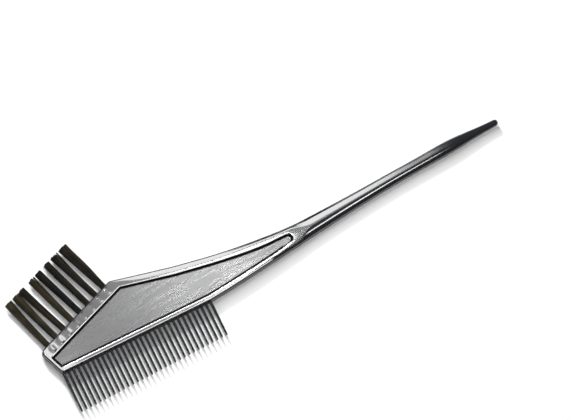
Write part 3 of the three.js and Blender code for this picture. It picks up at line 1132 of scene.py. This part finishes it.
@dataclass
class TuftRow:
    """The row of nylon tufts, fibre by fibre."""

    plan: HeadPlan
    tufts: tuple[Tuft, ...] = (
        Tuft(-0.2, 0.95, -0.1, bulge=0.5),
        Tuft(-0.09, 0.86, 0.12, split=-0.62, gap=0.35),
        Tuft(-0.19, 0.66, -0.1, strays=3),
        Tuft(-0.11, 0.76, -0.12),
        Tuft(-0.25, 0.8, 0.16),
        Tuft(-0.02, 0.72, 0.26),
        Tuft(-0.3, 0.8, 0.18, split=-0.55, gap=0.25),
        Tuft(-0.43, 0.84, 0.3, split=0.5, gap=0.2),
    )
    fibres: int = 230
    fibre_radius: float = 0.074
    length: float = 24.4
    root_radius: float = 1.22
    tip_depth: float = 3.4
    root_depth: float = 2.0  # where the fibres start inside the bar
    steps: int = 7
    trim: float = 0.012  # unevenness of the cut ends, over the length
    wisps: int = 12
    wisp_reach: float = 0.9  # how far out in the tuft's disc they lie
    wisp_shortness: float = 0.022
    wisp_warmth: float = 0.36  # spread of their warmth, and of a fibre's within its wisp
    fibre_warmth: float = 0.12
    gather: float = 0.3
    gather_power: float = 1.5
    drift: float = 0.16
    wobble: float = 0.05
    split_start: float = 0.55  # how far along a strand parts, and a loose fibre leaves
    stray_start: float = 0.5
    stray_gap: float = 0.45
    seed: int = 11

    def wisp(self, tuft: Tuft, dice: random.Random) -> Wisp:
        """Makes one wisp of a tuft at random.

        Args:
            tuft: Shape of the tuft.
            dice: The tuft's own random numbers.

        Returns:
            The wisp.
        """
        middle = heading(dice.uniform(0, 2 * math.pi)) * math.sqrt(dice.random()) * self.wisp_reach
        drift = Vector((dice.gauss(0, self.drift), dice.gauss(0, self.drift)))
        shortness = dice.random() ** 2 * self.wisp_shortness
        return Wisp(middle, drift, shortness, dice.gauss(tuft.warmth, self.wisp_warmth))

    def fibre(self, tuft: Tuft, number: int, wisp: Wisp, dice: random.Random) -> list[Vector]:
        """Places along one fibre, in the tuft's own frame.

        Args:
            tuft: Shape of the tuft.
            number: Index of the fibre in the tuft.
            wisp: The wisp that it belongs to.
            dice: The tuft's own random numbers.

        Returns:
            Points from the root to the tip: towards the head's end, out of the bar, and up.
        """
        pitch = self.plan.row.pitch
        packed = self.packed(number)
        spread = Vector((tuft.spread * pitch / 2, self.tip_depth / 2))
        wobble = Vector((dice.gauss(0, self.wobble), dice.gauss(0, self.wobble)))
        stray = number >= self.fibres - tuft.strays
        reach = self.length * (1 - self.trim * dice.random() ** 2 - wisp.shortness)
        side = 1 if tuft.split > 0 else -1
        parted = tuft.gap and side * packed.x > abs(tuft.split)
        stray_place = (number - self.fibres + 1 + tuft.strays / 2) * self.stray_gap
        places = []
        for step in range(self.steps + 1):
            share = step / self.steps
            flare = share * (1 + share) / 2
            spot = packed.lerp(wisp.middle, self.gather * share**self.gather_power)
            lean, width = tuft.lean * pitch * flare, mix(self.root_radius, spread.x, flare)
            across = spot.x * width + lean
            up = spot.y * mix(self.root_radius, spread.y, flare)
            wave = math.sin(math.pi * share)
            across += wobble.x * wave + wisp.drift.x * share**2
            up += wobble.y * wave + wisp.drift.y * share**2
            if packed.x < 0:
                across -= tuft.bulge * wave**2 * -packed.x
            if parted:
                across += side * tuft.gap * smooth_step(share, self.split_start, 1)
            if stray:
                across = lean + width + stray_place * smooth_step(share, self.stray_start, 1)
            places.append(Vector((across, mix(-self.root_depth, reach, share), up)))
        return places

    def packed(self, number: int) -> Vector:
        """Place of a fibre in the unit disc of its tuft."""
        return heading(number * GOLDEN_ANGLE) * math.sqrt((number + 1 / 2) / self.fibres)

    def build_pair(self, first: int) -> Object:
        """Builds two neighbouring tufts as one piece.

        Args:
            first: Index of the pair's first tuft.

        Returns:
            The piece, whose attribute "warmth" is one value for each fibre.
        """
        row = self.plan.row
        shape = bpy.data.curves.new("fibres", "CURVE")
        shape.dimensions = "3D"
        shape.bevel_depth = self.fibre_radius * MM
        shape.bevel_resolution = 0
        shape.use_fill_caps = True
        warmths = []
        height = self.plan.origin.z
        for index in (first, first + 1):
            tuft, dice = self.tufts[index], random.Random(self.seed + index)
            wisps = [self.wisp(tuft, dice) for _ in range(self.wisps)]
            for number in range(self.fibres):
                packed = self.packed(number)
                wisp = min(wisps, key=lambda w: (w.middle - packed).length)
                line = shape.splines.new("POLY")
                line.points.add(self.steps)
                places = self.fibre(tuft, number, wisp, dice)
                for knot, (across, out, up) in zip(line.points, places):
                    spot = row.start + row.to_end * (index * row.pitch + across) + row.out * out
                    knot.co = (spot.x * MM, spot.y * MM, (height + up) * MM, 1.0)
                warmths.append(min(max(dice.gauss(wisp.warmth, self.fibre_warmth), 0.0), 1.0))
        rope = add_object("fibres", shape)
        mesh = drawn_mesh(rope)
        bpy.data.objects.remove(rope)
        mesh.shade_smooth()
        corners = len(mesh.vertices) // len(warmths)
        tint = mesh.attributes.new("warmth", "FLOAT", "POINT")
        tint.data.foreach_set("value", [w for w in warmths for _ in range(corners)])
        name = f"tuft_fibres_{first + 1}_and_{first + 2}"
        mesh.name = name
        return add_object(name, mesh)

    def dress(self, pair: Object, first: int, nylon: Material) -> None:
        """Gives the pair from the first index on its material and puts it over its node."""
        fit_out(pair, Slot.NYLON, nylon)
        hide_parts(f"tufts_{first + 1}_and_{first + 2}")


@dataclass
class Anchors:
    """The flattened wires that hold the tufts, which keep the frame's own shape."""

    row: Row

    def dress(self, steel: Material) -> None:
        """Gives every anchor its material.

        Args:
            steel: The material.
        """
        for number in range(1, self.row.tuft_count + 1):
            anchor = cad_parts[f"anchor_{number}"]
            anchor.data.materials.clear()
            anchor.data.materials.append(steel)
            log.info("%s: %d faces", anchor.name, len(anchor.data.polygons))


class Nodes:
    """A short way to build the node tree of a material or a world."""

    usual_range = (0.3, 0.7)  # where most of a noise pattern lies
    noise_roughness = 0.6

    def __init__(self, owner: bpy.types.ID, output: str = "ShaderNodeOutputMaterial") -> None:
        """Starts an empty tree with its output.

        Args:
            owner: The material or world.
            output: Kind of its output node.
        """
        owner.use_nodes = True
        self.tree = owner.node_tree
        self.tree.nodes.clear()
        self.output = self.add(output)

    def add(self, kind: str, **settings: object) -> Node:
        """Adds a node.

        Args:
            kind: Kind of the node.
            settings: Fields to set on it.

        Returns:
            The node.
        """
        node = self.tree.nodes.new(kind)
        for name, value in settings.items():
            setattr(node, name, value)
        return node

    def put(self, node: Node, **values: object) -> Node:
        """Sets a node's input sockets.

        Args:
            node: The node.
            values: A value for each socket, named in lower case with underscores.

        Returns:
            The same node.
        """
        sockets = {s.name.lower().replace(" ", "_"): s for s in reversed(node.inputs)}
        for name, value in values.items():
            sockets[name].default_value = value
        return node

    def join(self, source: Socket, goal: Socket) -> None:
        """Links an output socket to an input socket."""
        self.tree.links.new(source, goal)

    def coat(self, **values: object) -> Node:
        """Adds the surface shader and joins it to the output.

        Args:
            values: A value for each of its sockets that isn't left as it is.

        Returns:
            The shader.
        """
        shader = self.put(self.add("ShaderNodeBsdfPrincipled"), **values)
        self.join(shader.outputs[0], self.output.inputs[0])
        return shader

    def paint(self, shader: Node, share: Socket, low: Triple, high: Triple) -> None:
        """Mixes a shader's colour from two.

        Args:
            shader: The surface shader.
            share: How much of the second colour there is.
            low: The first colour.
            high: The second colour.
        """
        tone = self.add("ShaderNodeMixRGB")
        tone.inputs[1].default_value = (*low, 1)
        tone.inputs[2].default_value = (*high, 1)
        self.join(share, tone.inputs[0])
        self.join(tone.outputs[0], shader.inputs["Base Color"])

    def by_camera(self, seen: Node, other: Node) -> None:
        """Ends the tree with one shader for the camera and another for every other ray.

        Args:
            seen: What the camera sees.
            other: What lights and reflections see.
        """
        path, switch = self.add("ShaderNodeLightPath"), self.add("ShaderNodeMixShader")
        self.join(path.outputs["Is Camera Ray"], switch.inputs[0])
        self.join(other.outputs[0], switch.inputs[1])
        self.join(seen.outputs[0], switch.inputs[2])
        self.join(switch.outputs[0], self.output.inputs[0])

    def noise(
        self, scale: float, stretch: Triple = (1, 1, 1), turn: float = 0.0, detail: float = 3
    ) -> Socket:
        """A noise pattern on Object coordinates.

        Args:
            scale: Pattern repeats to the metre.
            stretch: Scale along each axis.
            turn: Turn about Z in radians.
            detail: Octaves of finer detail.

        Returns:
            The pattern.
        """
        coordinates = self.add("ShaderNodeTexCoord")
        mapping = self.put(self.add("ShaderNodeMapping"), rotation=(0, 0, turn), scale=stretch)
        noise = self.add("ShaderNodeTexNoise")
        self.put(noise, scale=scale, detail=detail, roughness=self.noise_roughness)
        self.join(coordinates.outputs["Object"], mapping.inputs["Vector"])
        self.join(mapping.outputs["Vector"], noise.inputs["Vector"])
        return noise.outputs[0]

    def ranged(self, source: Socket, low: float, high: float) -> Socket:
        """Maps a pattern's usual range onto another.

        Args:
            source: The pattern.
            low: The least result.
            high: The greatest result.

        Returns:
            The result.
        """
        node, (least, most) = self.add("ShaderNodeMapRange"), self.usual_range
        self.put(node, from_min=least, from_max=most, to_min=low, to_max=high)
        self.join(source, node.inputs["Value"])
        return node.outputs["Result"]

    def maths(self, operation: str, *terms: Socket | float) -> Socket:
        """Adds a Math node.

        Args:
            operation: What it does.
            terms: A pattern or a plain value for each of its inputs.

        Returns:
            The result.
        """
        node = self.add("ShaderNodeMath", operation=operation)
        for term, goal in zip(terms, node.inputs):
            if isinstance(term, Socket):
                self.join(term, goal)
            else:
                goal.default_value = term
        return node.outputs[0]

    def bump(self, source: Socket, height: float) -> Node:
        """Adds a bump.

        Args:
            source: The pattern that it follows.
            height: Its height in metres.

        Returns:
            The bump node.
        """
        node = self.put(self.add("ShaderNodeBump"), strength=1.0, distance=height)
        self.join(source, node.inputs["Height"])
        return node


@dataclass(frozen=True)
class MouldedPlastic:
    """Black moulded plastic with a fine grain and faint flow streaks along the handle."""

    name: str
    colour: Triple = (0.012, 0.013, 0.015)
    palest: float = 1.5  # colour of its palest patches, over the plain one
    smoothest: float = 0.09
    roughest: float = 0.13
    gloss: float = 1.0
    dullest: float = 1.0  # least gloss, where the mould's texture shows
    index: float = 1.54
    patch_scale: float = 90
    cloud_scale: float = 420
    cloud_stretch: Triple = (0.1, 1, 1)
    cloud_turn: float = math.radians(4)
    streak_scale: float = 700
    streak_stretch: Triple = (0.06, 1, 1)
    streak_turn: float = math.radians(6)
    streak_height: float = 0.0000008
    grain_scale: float = 2200
    grain_height: float = 0.0000005

    def make(self) -> Material:
        """Builds the finish.

        Returns:
            The material.
        """
        material = bpy.data.materials.new(self.name)
        nodes = Nodes(material)
        shader = nodes.coat(ior=self.index)
        pale = tuple(c * self.palest for c in self.colour)
        nodes.paint(shader, nodes.noise(self.patch_scale), self.colour, pale)
        cloud = nodes.noise(self.cloud_scale, self.cloud_stretch, self.cloud_turn, detail=4)
        nodes.join(nodes.ranged(cloud, self.smoothest, self.roughest), shader.inputs["Roughness"])
        streaks = nodes.noise(self.streak_scale, self.streak_stretch, self.streak_turn)
        grain = nodes.noise(self.grain_scale, detail=2)
        mean = nodes.maths("MULTIPLY", nodes.maths("ADD", streaks, grain), 0.5)
        shine = nodes.ranged(mean, self.dullest, self.gloss)
        nodes.join(shine, shader.inputs["Specular IOR Level"])
        coarse = nodes.bump(streaks, self.streak_height)
        fine = nodes.bump(grain, self.grain_height)
        nodes.join(coarse.outputs[0], fine.inputs["Normal"])
        nodes.join(fine.outputs[0], shader.inputs["Normal"])
        return material


@dataclass(frozen=True)
class DrawnNylon:
    """Dark drawn nylon, from black to olive brown from fibre to fibre."""

    name: str = "drawn_nylon"
    dark: Triple = (0.006, 0.006, 0.006)
    olive: Triple = (0.1, 0.078, 0.034)
    roughness: float = 0.42
    index: float = 1.53
    gloss: float = 0.15
    band_scale: float = 240
    bands: tuple[float, float] = (0.3, 1.2)  # how the warmth varies along the fibres

    def make(self) -> Material:
        """Builds the finish.

        Returns:
            The material.
        """
        material = bpy.data.materials.new(self.name)
        nodes = Nodes(material)
        shader = nodes.coat(roughness=self.roughness, ior=self.index, specular_ior_level=self.gloss)
        warmth = nodes.add("ShaderNodeAttribute", attribute_name="warmth")
        banded = nodes.ranged(nodes.noise(self.band_scale), *self.bands)
        tint = nodes.maths("MULTIPLY", warmth.outputs["Fac"], banded)
        nodes.paint(shader, tint, self.dark, self.olive)
        return material


@dataclass(frozen=True)
class FlattenedWire:
    """Bright flattened steel wire with drawing marks."""

    name: str = "flattened_wire"
    colour: Triple = (0.55, 0.53, 0.48)
    roughness: tuple[float, float] = (0.25, 0.45)
    mark_scale: float = 1500
    mark_stretch: Triple = (0.1, 1, 1)
    mark_height: float = 0.000003

    def make(self) -> Material:
        """Builds the finish.

        Returns:
            The material.
        """
        material = bpy.data.materials.new(self.name)
        nodes = Nodes(material)
        shader = nodes.coat(metallic=1.0, base_color=(*self.colour, 1))
        marks = nodes.noise(self.mark_scale, self.mark_stretch)
        nodes.join(nodes.ranged(marks, *self.roughness), shader.inputs["Roughness"])
        nodes.join(nodes.bump(marks, self.mark_height).outputs[0], shader.inputs["Normal"])
        return material


def sky(azimuth: float, elevation: float) -> Vector:
    """The direction at an azimuth from +X and a height above the floor, in degrees."""
    flat = heading(math.radians(azimuth)) * math.cos(math.radians(elevation))
    return Vector((*flat, math.sin(math.radians(elevation))))


TO_CAMERA = sky(CAMERA_AZIMUTH, CAMERA_ELEVATION)


def mirrored(tilt: float, toward: float) -> Vector:
    """What the camera sees in a glossy face that leans tilt degrees to the azimuth toward."""
    normal = sky(toward, 90 - tilt)
    return normal * (2 * normal.dot(TO_CAMERA)) - TO_CAMERA


@dataclass(frozen=True)
class Lamp:
    """A soft box that points at a spot on the brush.

    Attributes:
        name: What it is for.
        direction: Where it stands, seen from its spot.
        distance: Metres to the spot.
        size: Length along the floor and height, in metres.
        brightness: Radiance, where 1 is as bright as white.
        spot: Plan place that it points at, in millimetres.
        turn: Azimuth that its length follows, in degrees.
    """

    name: str
    direction: Vector
    distance: float
    size: tuple[float, float]
    brightness: float
    spot: tuple[float, float]
    turn: float = 0.0

    @property
    def floor_light(self) -> float:
        """Irradiance that it gives the floor at its spot."""
        area = self.size[0] * self.size[1]
        return self.brightness * area * self.direction.z / self.distance**2

    def make(self, origin: Vector) -> None:
        """Adds the lamp to the scene.

        Args:
            origin: The plan's origin in the frame, in millimetres.
        """
        light = bpy.data.lights.new(self.name, "AREA")
        light.shape = "RECTANGLE"
        light.size, light.size_y = self.size
        light.energy = self.brightness * math.pi * self.size[0] * self.size[1]
        holder = add_object(self.name, light)
        spot = (Vector((*self.spot, 0.0)) + origin) * MM
        across = self.direction.cross(sky(self.turn, 0)).normalized()
        along = across.cross(self.direction)
        facing = Matrix((along, across, self.direction)).transposed().to_4x4()
        holder.matrix_world = Matrix.Translation(spot + self.direction * self.distance) @ facing
        holder.visible_camera = False


@dataclass(frozen=True)
class Studio:
    """Floor, lamps, world and camera."""

    origin: Vector
    aim: tuple[float, float, float] = (12.2, -0.06, 2.6)
    frame_width: float = 235.1
    distance: float = 2.5
    film_width: float = 36
    world_level: float = 0.05
    floor_tone: float = 0.84
    floor_glow: float = 0.12
    floor_size: float = 3.0
    floor_drop: float = 0.05
    lamps: tuple[Lamp, ...] = (
        Lamp("key", sky(84, 38), 1.2, (0.12, 0.12), 230, (60, 0)),
        Lamp("crown_box", mirrored(10, 90), 0.6, (0.2, 0.3), 8.5, (80, 8)),
        Lamp("ceiling", mirrored(0, 0), 0.6, (0.26, 0.12), 2, (50, 6)),
        Lamp("bevel_strip", mirrored(15, -90), 0.5, (0.25, 0.06), 14, (58, 0)),
        Lamp("panel_strip", mirrored(0, 0), 0.28, (0.06, 0.006), 90, (78, 4), -12),
        Lamp("end_box", mirrored(18, 196.6), 0.5, (0.1, 0.1), 10, (0, 5)),
        Lamp("end_strip", mirrored(0, 0), 0.13, (0.02, 0.009), 9, (-5.0, 5.4), 106.6),
    )

    def floor(self) -> None:
        """A plain pale floor under the brush."""
        bm = bmesh.new()
        bmesh.ops.create_grid(bm, x_segments=1, y_segments=1, size=self.floor_size)
        bmesh.ops.translate(bm, verts=bm.verts, vec=(0, 0, -self.floor_drop * MM))
        floor = finish_mesh(bm, "floor")
        material = bpy.data.materials.new("pale_floor")
        nodes = Nodes(material)
        plain = nodes.put(nodes.add("ShaderNodeBsdfDiffuse"), color=(*[self.floor_tone] * 3, 1))
        glow = nodes.put(nodes.add("ShaderNodeEmission"), strength=self.floor_glow)
        both = nodes.add("ShaderNodeAddShader")
        nodes.join(plain.outputs[0], both.inputs[0])
        nodes.join(glow.outputs[0], both.inputs[1])
        nodes.by_camera(both, plain)
        floor.data.materials.append(material)

    def world(self) -> None:
        """An even, dim surround that the camera sees as white."""
        world = bpy.data.worlds.new("surround")
        bpy.context.scene.world = world
        nodes = Nodes(world, "ShaderNodeOutputWorld")
        seen = nodes.put(nodes.add("ShaderNodeBackground"), color=WHITE)
        lit = nodes.put(nodes.add("ShaderNodeBackground"), color=WHITE, strength=self.world_level)
        nodes.by_camera(seen, lit)

    def camera(self) -> None:
        """A long lens at the photograph's angle."""
        data = bpy.data.cameras.new("camera")
        data.sensor_width = self.film_width
        data.lens = self.film_width * self.distance / (self.frame_width * MM)
        holder = add_object("camera", data)
        holder.location = Vector(self.aim) * MM + TO_CAMERA * self.distance
        holder.rotation_euler = (-TO_CAMERA).to_track_quat("-Z", "Y").to_euler()
        bpy.context.scene.camera = holder

    def build(self) -> None:
        """Sets up the whole studio."""
        self.floor()
        self.world()
        self.camera()
        for lamp in self.lamps:
            lamp.make(self.origin)
            log.info("%s gives the floor %.2f", lamp.name, lamp.floor_light)
        bpy.context.scene.view_settings.view_transform = "Standard"


def main() -> None:
    """Builds and dresses the brush, then the studio."""
    logging.basicConfig(level=logging.INFO, format="%(name)s: %(message)s")
    row = Row()
    plan = HeadPlan(row)

    satin = MouldedPlastic(
        "satin_panel",
        smoothest=0.23,
        roughest=0.32,
        dullest=0.9,
        grain_scale=1300,
        grain_height=0.0000008,
    )
    # Painted shade: darker, duller plastic for each panel's recess wall and foot, widened beside
    # the comb
    painted_shade_finish = MouldedPlastic(
        "matte_step",
        colour=(0.006, 0.006, 0.007),
        smoothest=0.45,
        roughest=0.6,
        gloss=0.06,
        dullest=0.03,
    )
    finishes = {
        Finish.RIM: MouldedPlastic("glossy_moulding").make(),
        Finish.PANEL: satin.make(),
        Finish.STEP: painted_shade_finish.make(),
    }
    handle = Handle(plan)
    handle.dress(handle.build(), finishes)
    comb = Comb(plan)
    comb.dress(comb.build(), finishes[Finish.RIM])

    nylon = DrawnNylon().make()
    tufts = TuftRow(plan)
    for first in range(0, row.tuft_count, 2):
        tufts.dress(tufts.build_pair(first), first, nylon)
    Anchors(row).dress(FlattenedWire().make())

    Studio(plan.origin).build()


if __name__ == "__main__":
    main()
